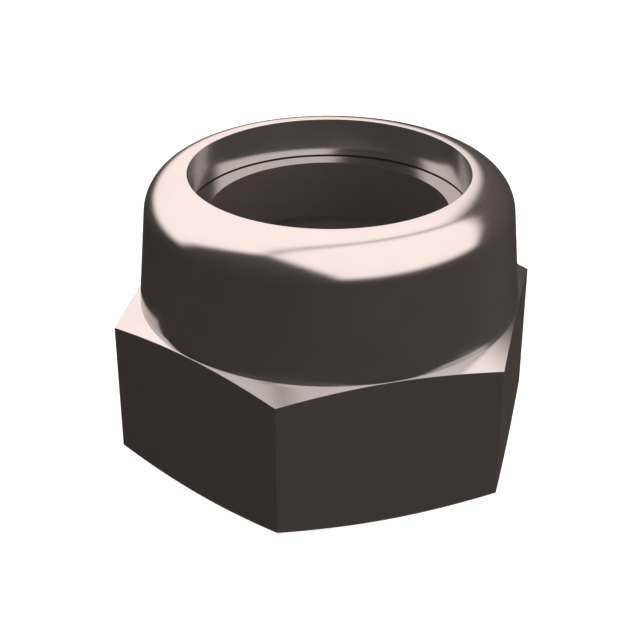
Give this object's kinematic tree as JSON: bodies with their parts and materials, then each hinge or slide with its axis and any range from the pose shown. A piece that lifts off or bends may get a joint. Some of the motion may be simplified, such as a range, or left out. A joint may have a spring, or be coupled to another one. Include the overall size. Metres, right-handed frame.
{
  "type": "hex lock nut",
  "caption": "Tall hexagon lock nut whose steel collar is rolled in over a smooth ring that grips the bolt's thread.",
  "frame": {"origin": "centre of the bearing face, which the nut stands on", "axes": "+Z along the thread's axis, towards the collar and the lock ring; two of the flats face +X and -X, and two corners point to +Y and -Y"},
  "size_m": [0.024, 0.0278, 0.018],
  "materials": {
    "dark_steel": "dark brown-black oxide over smooth steel, with a soft gloss",
    "dark_polyamide": "dark moulded polyamide with a soft gloss"
  },
  "bodies": {
    "root": {"nut_body": "dark_steel", "lock_ring": "dark_polyamide"}
  },
  "joints": []
}
